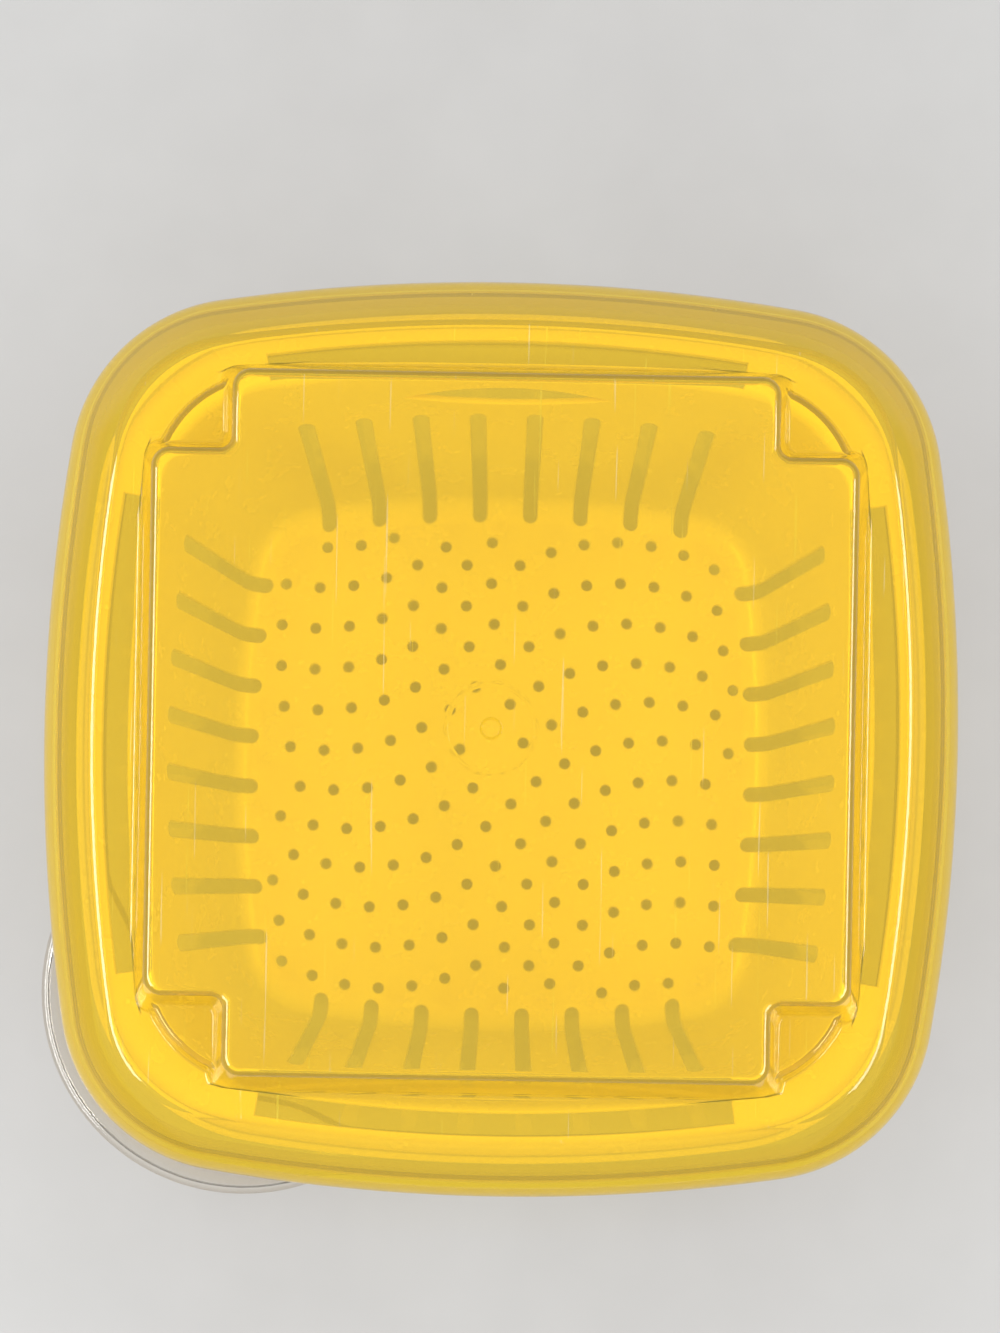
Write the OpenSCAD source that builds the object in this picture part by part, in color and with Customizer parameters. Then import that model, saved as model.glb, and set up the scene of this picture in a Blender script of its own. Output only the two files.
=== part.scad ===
// Lidded square strainer set for salad: a clear bowl with a pouring lip at one corner, a slotted
// basket that hangs in the bowl, and a lid with a plus-shaped raised top that covers both.
// Millimetres. +Z up, the bowl's underside at Z = 0, its centre on the Z axis, and the pouring
// lip at the corner towards -X and -Y.

/* [Outline] */
// Width of the lid across the middle of two opposite sides
lid_w = 260; // [256:0.5:264]
// Radius of the bow in each side of the lid
side_bow = 522; // [480:1:600]
// Radius of the lid's corners
corner_r = 50.5; // [49:0.5:54]

/* [Lid] */
// Height of the lid's lower edge above the table
lid_edge_z = 98; // [97.5:0.1:98.5]
// Height of the flange above the lower edge
flange_rise = 22; // [20:0.5:24]
// Height of the corner steps above the flange
step_rise = 6; // [5:0.5:7]
// Height of the raised top above the flange
top_rise = 14; // [12:0.5:16]
// Width of the raised top at its foot, from end to end
top_w = 196; // [194:0.5:197]
// Width of each arm of the raised top at its foot
arm_w = 154.6; // [148:0.1:158]
// Wall thickness of the lid
lid_t = 1.6; // [1.4:0.1:1.8]

/* [Basket] */
// Width between the inner faces of the basket's walls at the rim
basket_w = 208; // [206:0.5:210]
// Width of the basket's flat floor
floor_w = 168; // [166:0.5:170]
// Radius of the bow in each side of the basket
basket_bow = 450; // [420:1:520]
// Radius of the basket's corners at the rim
basket_corner_r = 38; // [37:0.5:40]
// Height of the basket's floor above the table
floor_z = 24.4; // [23:0.1:26]
// Wall thickness of the basket
basket_t = 2; // [1.8:0.1:2.2]
// Number of slots in each wall
slots = 8; // [6:1:8]
// Distance between neighbouring slots
slot_pitch = 17.3; // [16.5:0.1:17.5]
// Width of a slot
slot_w = 4.8; // [4:0.1:5.6]
// Diameter of a drain hole
hole_d = 3.7; // [3.2:0.1:4.2]

/* [Bowl] */
// Width across the bowl's rim
bowl_w = 249; // [248:0.5:250]
// Height of the bowl at its rim
bowl_h = 99.8; // [99.4:0.1:100]
// Wall thickness of the bowl
bowl_t = 2.2; // [2:0.1:2.4]
// Radius of the pouring lip about the centre of its corner
lip_r = 59.2; // [58:0.1:60]
// Height of the pouring lip
lip_z = 96; // [95:0.1:96.4]

/* [Hidden] */

arc_steps = 4;                      // steps in each rounded corner of a profile or an outline
side_steps = 6;                     // steps along each bowed side
corner_steps = 8;                   // steps round each corner
long_fn = 192;                      // fineness of the long arcs that are cut out
gap = 0.3;                          // clearance between pieces that rest on each other
cut = 10;                           // how far a cutting shape reaches past what it cuts

lid_half = lid_w / 2;
flange_z = lid_edge_z + flange_rise;
flange_inner = 102;                 // the flange is flat from here to the foot of the steps
slope_foot = 6.5;                   // height of the lid's upright lower band
slope_foot_r = 8;                   // radius of the bend from that band to the lid's slope
slope_top_r = 5;                    // radius of the bend from the slope to the flange
slope_top = lid_half - 20;          // where the lid's slope meets the flange
top_z = flange_z + top_rise;
step_z = flange_z + step_rise;
step_half = top_w / 2 - 2;          // the steps end just inside the ends of the raised top
step_bow = 4000;                    // their sides are all but straight
step_corner_r = 33;
step_edge = 0.8;                    // chamfer round the steps' tops
top_foot_r = 5;                     // radius of the arms' corners at the raised top's foot ...
top_edge_r = 4;                     // ... and just below its edge
top_edge = 1.6;                     // the raised top's edge is rounded over this height
inner_corner_r = 3;                 // radius of the corners between two arms
lean = 0.5;                         // how far the raised walls lean in for each unit of height
rib_half = 121;                     // the rib under the lid, from the middle of the lid
rib_t = 1.4;

basket_half = basket_w / 2;
rim_z = bowl_h + gap + basket_t;    // the basket's rim rests on the bowl's rim
rim_outer = basket_half + 15.5;     // outer edge of the basket's rim
rim_lip = 2;                        // height of the upturned edge of the basket's rim
rim_lip_r = 1.2;                    // radii of the rim's bends, up to that edge ...
rim_root_r = 2;                     // ... and down to the wall
floor_lap = 1.5;                    // the wall reaches this far in over the floor's edge
basket_foot = 7;                    // where the wall would meet the floor, out from its edge
basket_foot_r = 9;                  // radius of the bend from the floor to the wall
rim_opening = [2, 8.9];             // inner and outer edge of a rim opening, out from the wall
rim_opening_half = 73.5;            // half the length of a rim opening
slot_start = floor_w / 2 + slot_w / 2;
slot_top_z = 77.6;                  // centre of a slot's round upper end
grip_z = 89.5;                      // height of the middle of the two grip slots
grip_half = [30.5, 4];              // half length and half height of a grip slot

bowl_half = bowl_w / 2;
bowl_floor_half = 78;
bowl_foot = 93;                     // where the bowl's wall would meet its floor
bowl_bend_r = 18;                   // radius of the bend from the bowl's floor to its wall
bowl_corner_r = 26;                 // radius of the bowl's corners at its foot
bowl_wall_top = bowl_half - 10;     // where the bowl's wall meets its rim
bowl_skirt = 8;                     // depth of the downturned edge of the bowl's rim
bowl_root_r = 3;                    // radii of the rim's bends, up from the wall ...
bowl_rim_r = 1.2;                   // ... and down to that edge
lip_root_z = 84;                    // the pouring lip leaves the wall at this height
lip_drop = 2.4;                     // depth of the downturned edge of the pouring lip

// The drain holes stand on rows that each bend as an S. The rows' middles stand on another S.
row_r = 70;                         // radius of the two arcs of a row
row_step = 9.55;                    // angle between neighbouring holes of a row
row_heading = 47.5;                 // direction of a row at its middle
column_r = 165;                     // radius of the two arcs that the rows' middles follow
column_step = 4.9;                  // angle between neighbouring rows
column_heading = -68;               // direction of the middles' line at its own middle
field_centre = [-1, 0];
field_half = 80.5;                  // the holes stay in a square of this half width ...
field_r = 26;                       // ... with corners of this radius
blank_rows = [-1, 0];               // the middle hole is left out of these two rows

function unit(v) = v / norm(v);
function flip(list) = [for (i = [len(list) - 1:-1:0]) list[i]];
function mix(a, b, f) = a + (b - a) * f;
function turned(p, k) = [p[0] * cos(90 * k) - p[1] * sin(90 * k),
                         p[0] * sin(90 * k) + p[1] * cos(90 * k)];

// The arc that rounds the corner at b of the line a-b-c
function rounding(a, b, c, r) =
    let (u = unit(a - b), v = unit(c - b), half = acos(u * v) / 2)
    let (m = b + unit(u + v) * r / sin(half), from = b + u * r / tan(half) - m)
    let (start = atan2(from[1], from[0]), turn = (180 - 2 * half) * sign(cross(b - a, c - b)))
    [for (i = [0:arc_steps]) m + r * [cos(start + turn * i / arc_steps),
                                      sin(start + turn * i / arc_steps)]];

// A line through [x, z, radius] corners, each rounded to its radius
function rounded_line(p) =
    [for (i = [0:len(p) - 1]) let (xy = [p[i][0], p[i][1]])
        each (i == 0 || i == len(p) - 1) ? [xy]
            : rounding([p[i - 1][0], p[i - 1][1]], xy, [p[i + 1][0], p[i + 1][1]], p[i][2])];

// A closed outline through [x, y, radius] corners
function rounded_outline(p) =
    let (n = len(p))
    [for (i = [0:n - 1]) let (a = p[(i + n - 1) % n], b = p[i], c = p[(i + 1) % n])
        each rounding([a[0], a[1]], [b[0], b[1]], [c[0], c[1]], b[2])];

// A line moved out to its left, or to its right where out is negative
function beside(line, out) =
    let (n = len(line) - 1)
    [for (i = [0:n]) let (d = unit(line[min(i + 1, n)] - line[max(i - 1, 0)]))
        line[i] + out * [-d[1], d[0]]];

// The closed profile of a wall of thickness t whose middle follows the line
function wall_profile(line, t) = concat(beside(line, -t / 2), flip(beside(line, t / 2)));

// On a square with bowed sides, the corner arcs' centre and the angle where the arcs meet
function arc_centre(half, bow, r) =
    let (a = half - bow, d = bow - r) (2 * a + sqrt(4 * a * a - 8 * (a * a - d * d))) / 4;
function arc_split(half, bow, r) =
    let (c = arc_centre(half, bow, r)) atan2(c, c - half + bow);

// Station i of those round that square: a point and the direction straight out from it
per_quarter = side_steps + corner_steps;
function station(i, half, bow, r) =
    let (c = arc_centre(half, bow, r), t = arc_split(half, bow, r), k = floor(i / per_quarter))
    let (j = i % per_quarter, on_side = j <= side_steps)
    let (a = on_side ? t * (2 * j / side_steps - 1)
                     : t + (90 - 2 * t) * (j - side_steps) / corner_steps)
    let (m = on_side ? [half - bow, 0] : [c, c], reach = on_side ? bow : r)
    [turned(m + reach * [cos(a), sin(a)], k), [cos(a + 90 * k), sin(a + 90 * k)]];

function stations(half, bow, r) = [for (i = [0:4 * per_quarter - 1]) station(i, half, bow, r)];

function bowed_outline(half, bow, r, grow) =
    [for (s = stations(half, bow, r)) s[0] + grow * s[1]];

function lifted(outline, z) = [for (p = outline) [p[0], p[1], z]];

// The triangles between two neighbouring rings of n points, the rings' first points at a and b
function strip(a, b, n) = [for (i = [0:n - 1]) let (j = (i + 1) % n)
    each [[a + i, b + i, b + j], [a + i, b + j, a + j]]];

// A closed skin through rings of points. The first and last rings get flat caps round the Z axis.
module lofted(rings) {
    n = len(rings[0]);
    last = len(rings) - 1;
    mid = n * (last + 1);
    polyhedron(
        concat([for (ring = rings) each ring],
               [[0, 0, rings[0][0][2]], [0, 0, rings[last][0][2]]]),
        concat([for (k = [0:last - 1]) each strip(k * n, (k + 1) * n, n)],
               [for (i = [0:n - 1]) let (j = (i + 1) % n)
                   each [[i, j, mid], [last * n + j, last * n + i, mid + 1]]]));
}

// ---- Bowl ----

bowl_stations = stations(lid_half, side_bow, corner_r);
lip_centre = -arc_centre(lid_half, side_bow, corner_r) * [1, 1];

// How far the pouring lip stands out past the bowl's rim at a station, or 0 away from the lip
function lip_reach(s) =
    let (p = s[0] - lip_centre, along = p * s[1])
    let (root = lip_r * lip_r - p * p + along * along)
    s[1] * lip_centre < 0 || root < 0 ? 0
        : max(0, sqrt(root) - along + lid_half - bowl_half);

// The middle of the bowl's wall, where the pouring lip stands out by reach
function bowl_line(reach) =
    let (out = reach / (lip_r - corner_r + lid_half - bowl_half), down = min(1, 3 * out))
    let (wall_slope = (bowl_wall_top - bowl_foot) / (bowl_h - bowl_t))
    let (root = [bowl_foot + wall_slope * (lip_root_z - bowl_t / 2), lip_root_z])
    let (edge = [bowl_half - bowl_t / 2, bowl_h - bowl_t / 2])
    let (lip = [edge[0] + reach, mix(edge[1], lip_z - bowl_t / 2, down)])
    let (end = [lip[0], lip[1] - mix(bowl_skirt, lip_drop, down)])
    rounded_line([
        [bowl_floor_half, bowl_t / 2],
        [bowl_foot, bowl_t / 2, bowl_bend_r],
        [mix(bowl_wall_top, root[0], out), mix(edge[1], root[1], out), bowl_root_r],
        [lip[0], lip[1], bowl_rim_r],
        end]);

bowl_profiles = [for (s = bowl_stations) wall_profile(bowl_line(lip_reach(s)), bowl_t)];

// The bowl's corner radius where its wall is half from the middle: its rim is parallel to the
// lid's edge, and further down the corners stay rounder
function bowl_corner(half) =
    let (rim_r = corner_r - lid_half + bowl_wall_top)
    half > bowl_wall_top ? corner_r - lid_half + half
        : mix(bowl_corner_r, rim_r, (half - bowl_floor_half) / (bowl_wall_top - bowl_floor_half));

module bowl() color([0.82, 0.88, 0.84, 0.5]) {
    lofted([for (k = [0:len(bowl_profiles[0]) - 1])
        [for (i = [0:len(bowl_stations) - 1])
            let (p = bowl_profiles[i][k], half = p[0])
            let (s = station(i, half, half + side_bow - lid_half, bowl_corner(half)))
            [s[0][0], s[0][1], p[1]]]]);
}

// ---- Basket ----

basket_profile = wall_profile(rounded_line([
    [floor_w / 2 - floor_lap, floor_z - basket_t / 2],
    [floor_w / 2 + basket_foot, floor_z - basket_t / 2, basket_foot_r],
    [basket_half + basket_t / 2, rim_z - basket_t / 2, rim_root_r],
    [rim_outer - basket_t / 2, rim_z - basket_t / 2, rim_lip_r],
    [rim_outer - basket_t / 2, rim_z + rim_lip]]), basket_t);

// A point on an S of two equal arcs, a degrees along it from its middle
function on_s(r, heading, a) =
    let (ahead = [cos(heading), sin(heading)], aside = [sin(heading), -cos(heading)])
    sign(a) * r * (sin(abs(a)) * ahead + (1 - cos(a)) * aside);

function in_field(p) =
    max(abs(p[0]), abs(p[1])) < field_half
    && norm([for (v = p) max(abs(v) - field_half + field_r, 0)]) < field_r;

drain_holes = [for (row = [-7:7], i = [-11:11])
    let (p = field_centre + on_s(column_r, column_heading, row * column_step)
                          + on_s(row_r, row_heading, i * row_step))
    if (in_field(p) && !(i == 0 && (row == blank_rows[0] || row == blank_rows[1]))) p];

module basket_floor() {
    outline = bowed_outline(basket_half, basket_bow, basket_corner_r, floor_w / 2 - basket_half);
    translate([0, 0, floor_z - basket_t]) linear_extrude(basket_t) difference() {
        polygon(outline);
        for (p = drain_holes) translate(p) circle(d = hole_d, $fn = 24);
    }
}

// The walls and the rim, swept round the bowed square
module basket_wall() {
    at = stations(basket_half, basket_bow, basket_corner_r);
    n = len(at);
    last = len(basket_profile) - 1;
    polyhedron(
        [for (p = basket_profile, s = at)
            let (q = s[0] + (p[0] - basket_half) * s[1]) [q[0], q[1], p[1]]],
        [for (k = [0:last]) each strip(k * n, (k == last ? 0 : k + 1) * n, n)]);
}

module wall_slot() {
    reach = rim_outer - slot_start;
    translate([slot_start, 0, floor_z - cut]) {
        translate([0, -slot_w / 2]) cube([reach, slot_w, slot_top_z - floor_z + cut]);
        cylinder(d = slot_w, h = 2 * cut, $fn = 32);
    }
    translate([slot_start, 0, slot_top_z]) rotate([0, 90, 0])
        cylinder(d = slot_w, h = reach, $fn = 32);
}

module rim_opening() {
    half_angle = asin(rim_opening_half / (basket_bow + rim_opening[0]));
    translate([basket_half - basket_bow, 0, rim_z - cut / 2]) rotate(-half_angle)
        rotate_extrude(angle = 2 * half_angle, $fn = long_fn)
            translate([basket_bow + rim_opening[0], 0])
                square([rim_opening[1] - rim_opening[0], cut]);
}

module grip_slot() {
    r = (grip_half[0] * grip_half[0] + grip_half[1] * grip_half[1]) / (2 * grip_half[1]);
    translate([0, basket_half + cut, grip_z]) rotate([90, 0, 0]) linear_extrude(2 * cut)
        intersection_for (s = [-1, 1]) translate([0, s * (r - grip_half[1])])
            circle(r, $fn = long_fn);
}

module basket() color([0.98, 0.80, 0.18, 0.8]) {
    difference() {
        union() {
            basket_wall();
            basket_floor();
        }
        for (k = [0:3], i = [0:slots - 1]) rotate(90 * k)
            translate([0, (i - (slots - 1) / 2) * slot_pitch]) wall_slot();
        for (k = [0:3]) rotate(90 * k) rim_opening();
        for (k = [0, 1]) rotate(180 * k) grip_slot();
    }
}

// ---- Lid ----

lid_line = rounded_line([
    [lid_half - lid_t / 2, lid_edge_z],
    [lid_half - lid_t / 2, lid_edge_z + slope_foot, slope_foot_r],
    [slope_top, flange_z - lid_t / 2, slope_top_r],
    [flange_inner, flange_z - lid_t / 2]]);
lid_inside = beside(lid_line, lid_t / 2);
lid_outside = beside(lid_line, -lid_t / 2);

// The foot of the rib, and the heights where it meets the underside of the lid's slope
slope_start = lid_inside[arc_steps + 1];
slope_end = lid_inside[arc_steps + 2];
function under_slope(x) =
    mix(slope_start[1], slope_end[1], (slope_start[0] - x) / (slope_start[0] - slope_end[0]));
lid_rib = [for (x = [rib_half + rib_t, rib_half]) [x, under_slope(x)]];
rib_foot = bowl_h + gap;

function lid_ring(p) = lifted(bowed_outline(lid_half, side_bow, corner_r, p[0] - lid_half), p[1]);
function step_ring(inset, z) =
    lifted(bowed_outline(step_half, step_bow, step_corner_r, -inset), z);

// The plus shape's outline, with its arms' ends at e and their sides at w from the middle
function plus_outline(e, w, r) =
    rounded_outline([for (k = [0:3], p = [[e, -w, r], [e, w, r], [w, w, inner_corner_r]])
        [each turned(p, k), p[2]]]);

// The skirt, the flange and the corner steps, closed over the top
module lid_shell() {
    inside = [for (i = [len(lid_inside) - 1:-1:0]) each
        i == arc_steps + 1
            ? [lid_rib[1], [rib_half, rib_foot], [rib_half + rib_t, rib_foot], lid_rib[0],
               lid_inside[i]]
            : [lid_inside[i]]];
    lofted(concat(
        [step_ring(lean * step_rise + lid_t + 1, step_z - lid_t),
         step_ring(lid_t, flange_z - lid_t)],
        [for (p = inside) lid_ring(p)],
        [for (p = lid_outside) lid_ring(p)],
        [step_ring(0, flange_z),
         step_ring(lean * step_rise, step_z - step_edge),
         step_ring(lean * step_rise + step_edge, step_z)]));
}

// A ring round the raised top's wall at height z, inset from its outer face
function top_ring(inset, z, r) =
    let (in = inset + lean * (z - flange_z))
    lifted(plus_outline(top_w / 2 - in, arm_w / 2 - in, r), z);

// The raised top: a thin plus-shaped cap, open below
module raised_top() {
    foot_z = flange_z - 0.8 * lid_t;
    lofted([
        top_ring(lid_t + 1.4, top_z - lid_t, top_edge_r - 2),
        top_ring(lid_t, top_z - lid_t - top_edge, top_edge_r - 1),
        top_ring(lid_t, foot_z, top_foot_r - lid_t),
        top_ring(0, foot_z, top_foot_r),
        top_ring(0, top_z - top_edge, top_edge_r),
        top_ring(0.3, top_z - 0.5, top_edge_r - 0.3),
        top_ring(1, top_z, top_edge_r - 1)]);
}

module lid() color([0.96, 0.82, 0.20, 0.8]) {
    difference() {
        lid_shell();
        lofted([top_ring(lid_t / 2, flange_z - 4, 4), top_ring(lid_t / 2, step_z + 2, 4)]);
    }
    raised_top();
}

bowl();
basket();
lid();
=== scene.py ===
"""Lidded square strainer set: a clear bowl, a slotted yellow basket and a see-through yellow lid.

Each piece is built here as a fine mesh in place of its CAD solid, in the same frame. Shapes are
worked out in millimetres and turned into metres where a mesh is made.
"""

import math

import bpy
import numpy as np
from mathutils import Euler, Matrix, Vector
from mathutils.geometry import delaunay_2d_cdt
from mathutils.kdtree import KDTree


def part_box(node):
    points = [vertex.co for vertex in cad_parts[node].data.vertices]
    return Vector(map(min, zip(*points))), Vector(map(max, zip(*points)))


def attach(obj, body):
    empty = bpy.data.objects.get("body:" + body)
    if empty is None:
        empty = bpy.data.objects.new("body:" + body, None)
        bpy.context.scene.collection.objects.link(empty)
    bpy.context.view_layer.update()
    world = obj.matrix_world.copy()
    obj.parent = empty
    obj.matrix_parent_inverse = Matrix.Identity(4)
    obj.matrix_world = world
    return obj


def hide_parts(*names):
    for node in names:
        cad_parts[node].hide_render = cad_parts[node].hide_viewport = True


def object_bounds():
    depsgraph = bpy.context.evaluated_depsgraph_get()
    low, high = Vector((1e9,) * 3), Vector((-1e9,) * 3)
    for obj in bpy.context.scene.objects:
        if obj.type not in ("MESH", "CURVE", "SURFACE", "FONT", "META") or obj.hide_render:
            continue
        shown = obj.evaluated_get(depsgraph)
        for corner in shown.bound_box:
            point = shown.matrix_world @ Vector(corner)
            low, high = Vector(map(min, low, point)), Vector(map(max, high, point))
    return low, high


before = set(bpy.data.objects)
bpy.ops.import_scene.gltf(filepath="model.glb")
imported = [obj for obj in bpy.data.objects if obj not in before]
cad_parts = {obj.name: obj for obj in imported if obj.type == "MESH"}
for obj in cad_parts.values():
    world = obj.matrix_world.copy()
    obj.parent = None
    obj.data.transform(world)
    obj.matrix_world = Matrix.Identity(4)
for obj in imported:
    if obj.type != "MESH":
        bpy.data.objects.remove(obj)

MM = 0.001
CAD_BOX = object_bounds()


def box_mm(node):
    """The lowest and the highest corner of a CAD node, in millimetres."""
    return [[round(v / MM, 2) for v in corner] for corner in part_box(node)]


# ---- The shared outline, in millimetres ----
LID_LOW, LID_HIGH = box_mm("lid")
LID_HALF = LID_HIGH[0]
SIDE_BOW = 522.0                    # radius of the bow in each side
CORNER_R = 50.5
SIDE_STEPS = 36                     # steps along each bowed side
CORNER_STEPS = 28                   # steps round each corner
ARC_STEPS = 6                       # steps in a rounded corner of a profile
EDGE_STEPS = 6                      # steps round a wall's free edge


def mix(a, b, share):
    """The value that lies the share of the way from a to b."""
    return a + (b - a) * share


def half_turn(steps=EDGE_STEPS):
    """Angles between 0 and 180 degrees, without those two."""
    return np.linspace(0, math.pi, steps + 1)[1:-1]


def rounding(a, b, c, r, steps):
    """Points of the arc that rounds the corner at b of the line a-b-c."""
    a, b, c = (np.array(p[:2], float) for p in (a, b, c))
    u, v = (a - b) / np.linalg.norm(a - b), (c - b) / np.linalg.norm(c - b)
    half = math.acos(max(-1.0, min(1.0, float(u @ v)))) / 2
    m = b + (u + v) / np.linalg.norm(u + v) * r / math.sin(half)
    start = b + u * r / math.tan(half) - m
    side = np.sign((b - a)[0] * (c - b)[1] - (b - a)[1] * (c - b)[0])
    angles = math.atan2(start[1], start[0]) + side * (math.pi - 2 * half) * np.linspace(0, 1, steps + 1)
    return m + r * np.stack([np.cos(angles), np.sin(angles)], 1)


def rounded_line(corners, steps=ARC_STEPS):
    """An open line through (x, z, radius) corners, each rounded to its radius."""
    parts = [np.array([corners[0][:2]], float)]
    for a, b, c in zip(corners, corners[1:], corners[2:]):
        parts.append(rounding(a, b, c, b[2], steps))
    return np.concatenate(parts + [np.array([corners[-1][:2]], float)])


def rounded_loop(corners, steps=ARC_STEPS):
    """A closed outline through (x, y, radius) corners."""
    n = len(corners)
    return np.concatenate([rounding(corners[i - 1], corners[i], corners[(i + 1) % n], corners[i][2], steps)
                           for i in range(n)])


def divided(line, longest, closed=False):
    """The line with its long steps cut into steps no longer than longest."""
    ends = np.roll(line, -1, 0) if closed else line[1:]
    parts = []
    for p, q in zip(line, ends):
        count = max(1, math.ceil(np.linalg.norm(q - p) / longest - 1e-9))
        parts.append(p + (q - p) * (np.arange(count) / count)[:, None])
    return np.concatenate(parts if closed else parts + [line[-1:]])


def tangents(line):
    """Unit directions along an open line, at each of its points."""
    steps = np.diff(line, axis=0)
    steps /= np.linalg.norm(steps, axis=1)[:, None]
    d = np.concatenate([steps[:1], steps[:-1] + steps[1:], steps[-1:]])
    return d / np.linalg.norm(d, axis=1)[:, None]


def beside(line, out):
    """The line moved out to its left, or to its right where out is negative."""
    t = tangents(line)
    return line + out * np.stack([-t[:, 1], t[:, 0]], 1)


def square_arcs(half, bow, r):
    """For a square with bowed sides: c, where a corner's centre is (c, c), and half a side's angle."""
    a, d = half - bow, bow - r
    c = (2 * a + np.sqrt(4 * a * a - 8 * (a * a - d * d))) / 4
    return c, np.arctan2(c, c - a)


def square(half, bow, r):
    """Stations round a square with bowed sides: points, and directions straight out.
    half, bow and r are numbers, or arrays with a value for each station."""
    per_quarter = SIDE_STEPS + CORNER_STEPS
    i = np.arange(4 * per_quarter)
    j = i % per_quarter
    c, t = square_arcs(half, bow, r)
    on_side = j <= SIDE_STEPS
    angle = np.where(on_side, t * (2 * j / SIDE_STEPS - 1),
                     t + (math.pi / 2 - 2 * t) * (j - SIDE_STEPS) / CORNER_STEPS)
    reach = np.where(on_side, bow, r)
    x = np.where(on_side, half - bow, c) + reach * np.cos(angle)
    y = np.where(on_side, 0, c) + reach * np.sin(angle)
    turn = (i // per_quarter) * math.pi / 2
    points = np.stack([x * np.cos(turn) - y * np.sin(turn), x * np.sin(turn) + y * np.cos(turn)], 1)
    return points, np.stack([np.cos(angle + turn), np.sin(angle + turn)], 1)


# ---- Meshes ----
NEAR = 1e-4                         # points of a plan that are this close are one


class Skin:
    """Points, their normals and faces, in millimetres, gathered from several patches."""

    def __init__(self):
        self.points, self.normals, self.faces, self.count = [], [], [], 0

    def add(self, points, normals, faces):
        self.points.append(np.asarray(points, float))
        self.normals.append(np.asarray(normals, float))
        self.faces += [[int(v) + self.count for v in f] for f in faces]
        self.count += len(points)

    def welded(self, near=0.01):
        """The patches as one surface, with points that lie together made one."""
        points, normals = np.concatenate(self.points), np.concatenate(self.normals)
        tree = KDTree(len(points))
        for i, p in enumerate(points):
            tree.insert(Vector(p), i)
        tree.balance()
        first = np.array([min(j for _, j, _ in tree.find_range(Vector(p), near)) for p in points])
        kept, index = np.unique(first, return_inverse=True)
        faces = []
        for f in self.faces:
            loop = [int(index[v]) for v in f]
            loop = [v for k, v in enumerate(loop) if v != loop[k - 1]]
            if len(loop) > 2 and len(set(loop)) == len(loop):
                faces.append(loop)
        return points[kept], normals[kept], faces


def facing(points, normals, faces):
    """The faces, each turned so that it faces as its points' normals do."""
    out = []
    for f in faces:
        p = points[f]
        n = np.cross(p, np.roll(p, -1, 0)).sum(0) if len(f) > 3 else np.cross(p[1] - p[0], p[2] - p[0])
        out.append(f if n @ normals[f].sum(0) >= 0 else f[::-1])
    return out


def piece(name, points, normals, faces, material, body):
    """A Blender object from a skin, riding on its CAD body in place of that body's node."""
    mesh = bpy.data.meshes.new(name)
    mesh.from_pydata((points * MM).tolist(), [], facing(points, normals, faces))
    mesh.polygons.foreach_set("use_smooth", [True] * len(mesh.polygons))
    mesh.normals_split_custom_set_from_vertices(
        (normals / np.linalg.norm(normals, axis=1)[:, None]).tolist())
    mesh.materials.append(material)
    obj = bpy.data.objects.new(name, mesh)
    bpy.context.scene.collection.objects.link(obj)
    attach(obj, body)
    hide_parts(body)


def strips(rows, n):
    """Quads between rows of n points that run round in closed rings."""
    return [[a * n + i, a * n + (i + 1) % n, (a + 1) * n + (i + 1) % n, (a + 1) * n + i]
            for a in range(rows - 1) for i in range(n)]


def swept(line, points, out, at):
    """A line of (x, z) swept round stations, its right side facing out. x = at lies on the stations."""
    t = tangents(line)
    xyz = np.concatenate([
        np.column_stack([points + (x - at) * out, np.full(len(points), z)]) for x, z in line])
    normals = np.concatenate([
        np.column_stack([nx * out, np.full(len(out), nz)]) for nx, nz in zip(t[:, 1], -t[:, 0])])
    return xyz, normals, strips(len(line), len(points))


def triangles(loops, open_lines=()):
    """A plan's triangles inside loops[0], with an edge along every loop and line."""
    points, edges = [], []
    for line, closed in [(l, True) for l in loops] + [(l, False) for l in open_lines]:
        start = len(points)
        points += [Vector(p) for p in line]
        edges += [(start + i, start + i + 1) for i in range(len(line) - 1)]
        if closed:
            edges.append((start + len(line) - 1, start))
    out = delaunay_2d_cdt(points, edges, [], 0, NEAR)
    xy = np.array([p[:] for p in out[0]])
    faces = np.array([list(f) for f in out[2]])
    middle = xy[faces].mean(1)
    return xy, faces[inside(loops[0], middle)]


def inside(loop, points):
    """True for each point that lies inside the closed loop."""
    x, y = points[:, 0][:, None], points[:, 1][:, None]
    x0, y0 = loop[:, 0][None], loop[:, 1][None]
    x1, y1 = np.roll(loop, -1, 0).T[:, None]
    crosses = (y0 > y) != (y1 > y)
    with np.errstate(divide="ignore", invalid="ignore"):
        at = x0 + (y - y0) * (x1 - x0) / (y1 - y0)
    return (crosses & (x < at)).sum(1) % 2 == 1


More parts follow.
